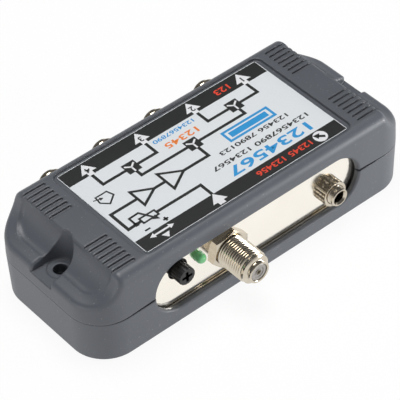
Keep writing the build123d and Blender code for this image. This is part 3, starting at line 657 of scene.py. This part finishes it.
# The splitters are black blocks with a white fork in each.
block_half = 2.1
splitters, forks = [], []
for x, y in ((18.6, 8.8), (0.3, 4.5), (-17.7, 8.6)):
    splitters.append(bar(x - block_half, x + block_half, y - block_half, y + block_half))
    forks += stroke([(x, y - 1.9), (x, y)], 0.55)
    forks += stroke([(x - 1.6, y + 1.2), (x, y), (x + 1.6, y + 1.2)], 0.55)
ink("label_splitters", black_ink, splitters, layer=2)
ink("label_forks", white_ink, forks, layer=3)

# White arrows in the bands mark the ports. The outputs' arrows carry their numbers.
output_marks = (27.3, 9.2, -8.9, -27.2)
arrows = []
for x in output_marks:
    arrows += [[(x, 18.4), (x - 2.5, 14.7), (x + 2.5, 14.7)], bar(x - 0.9, x + 0.9, 13.3, 14.7)]
arrows += [[(-8.6, -13.8), (-11.1, -17.3), (-6.2, -17.3)], bar(-9.6, -7.6, -18.4, -17.3)]
# A double arrow and a small one show which way the trimmer turns.
arrows += stroke([(-29.4, -15.4), (-24.6, -15.4)], 0.6)
arrows += [[(-31.0, -15.4), (-29.4, -14.5), (-29.4, -16.3)]]
arrows += [[(-23.0, -15.4), (-24.6, -16.3), (-24.6, -14.5)]]
arrows += [[(-28.2, -16.6), (-25.6, -16.6), (-26.9, -18.4)]]
disc_x, disc_y, disc_radius = 27.5, -16.35, 2.1
disc = []
for step in range(32):
    turn = step * math.pi / 16
    disc.append((disc_x + disc_radius * math.cos(turn), disc_y + disc_radius * math.sin(turn)))
ink("label_arrows", white_ink, arrows + [disc], layer=2)
pointer = stroke([(28.6, -17.2), (27.0, -15.9)], 0.9)
pointer.append([(25.9, -15.0), (28.1, -15.3), (26.5, -16.9)])
port_numbers = [(str(index + 1), x, 15.6, 2.0, 1.1) for index, x in enumerate(output_marks)]
ink("label_numbers", black_ink, pointer, port_numbers, layer=3)

# Numbers: figures, their middle, height and stretch.
blue_rows = [("1234567", 15.0, -10.8, 3.5, 1.75), ("1234567890", -0.2, 12.0, 1.4, 1.5)]
ink("label_blue", blue_ink, [], blue_rows)
window = stroke([(8.6, -1.6), (24.4, -1.6), (24.4, 2.3), (8.6, 2.3)], 0.8, closed=True)
ink("label_window", blue_ink, window + [bar(9.9, 23.1, -0.7, 1.4)])
small_rows = [("1234567890 1234567", 14.6, -7.1, 1.6, 1.75)]
small_rows += [("123456 7890123", 15.1, -3.6, 1.5, 1.75)]
ink("label_small_rows", black_ink, [], small_rows)
ink("label_orange", orange_ink, [], [("12345", 0, 8.6, 2.2, 1.6)])
red_rows = [("12345 123456", 14.9, -16.2, 1.9, 1.3), ("123", 20.6, 16.1, 2.2, 1.3)]
ink("label_red", red_ink, [], red_rows, layer=2)


# Floor, lamps and camera
# The object stands on a plain white sheet that nearly clips, and that throws light up onto
# everything above it. The sheet lies a hair below the case, so that the two don't flicker.
bpy.ops.mesh.primitive_plane_add(size=6)
floor = bpy.context.object
floor.name = "floor"
floor.location.z = -0.02 * mm
white_paper, tree = new_material("white_paper")
sheet = add(tree, "ShaderNodeBsdfDiffuse", {"Color": linear("#FFFFFF")})
glow = add(tree, "ShaderNodeEmission", {"Color": linear("#FFFFFF"), "Strength": 1.0})
both = add(tree, "ShaderNodeMixShader", {0: 0.92}, {1: sheet.outputs[0], 2: glow.outputs[0]})
# From below the sheet is clear, so that the underside can be looked at.
side = add(tree, "ShaderNodeNewGeometry")
clear = add(tree, "ShaderNodeBsdfTransparent")
seen = add(tree, "ShaderNodeMixShader", {},
           {0: side.outputs["Backfacing"], 1: both.outputs[0], 2: clear.outputs[0]})
add(tree, "ShaderNodeOutputMaterial", {}, {"Surface": seen.outputs[0]})
floor.data.materials.append(white_paper)

object_middle = Vector((0, 0, 0.014))


def lamp(name, place, size, power):
    """A soft square lamp that points at the object."""
    light = bpy.data.lights.new(name, "AREA")
    light.size = size
    light.energy = power
    piece = bpy.data.objects.new(name, light)
    piece.location = place
    piece.rotation_euler = (object_middle - Vector(place)).to_track_quat("-Z", "Y").to_euler()
    bpy.context.scene.collection.objects.link(piece)


lamp("top_lamp", (0.02, 0.06, 0.72), 0.35, 3.8)
lamp("right_lamp", (0.26, -0.24, 0.02), 0.1, 1.1)
lamp("left_lamp", (-0.7, 0.0, 0.03), 0.3, 0.9)

# The room is white low down and dark overhead, so that polished metal shows both.
world = bpy.data.worlds.new("studio")
bpy.context.scene.world = world
world.use_nodes = True
tree = world.node_tree
tree.nodes.clear()
heading = add(tree, "ShaderNodeTexCoord")
split = add(tree, "ShaderNodeSeparateXYZ", {}, {0: heading.outputs["Generated"]})
strength = add(tree, "ShaderNodeMapRange",
               {"From Min": 0.0, "From Max": 0.45, "To Min": 0.85, "To Max": 0.13},
               {"Value": split.outputs["Z"]})
sky = add(tree, "ShaderNodeBackground", {"Color": linear("#FFFFFF")},
          {"Strength": strength.outputs[0]})
add(tree, "ShaderNodeOutputWorld", {}, {"Surface": sky.outputs[0]})

# The camera stands where the photo's did: to the left of the front, and above.
camera = bpy.data.cameras.new("camera")
camera.lens = 197.97
camera.sensor_width = 36
camera.clip_start = 0.05
camera.clip_end = 20
viewpoint = bpy.data.objects.new("camera", camera)
right, upward = Vector((0.76211, -0.64642, -0.03634)), Vector((0.46870, 0.51213, 0.71976))
turn = Matrix((right, upward, right.cross(upward))).transposed().to_4x4()
viewpoint.matrix_world = Matrix.Translation(Vector((-0.269407, -0.338773, 0.426625))) @ turn
bpy.context.scene.collection.objects.link(viewpoint)
bpy.context.scene.camera = viewpoint
bpy.context.scene.view_settings.view_transform = "Standard"
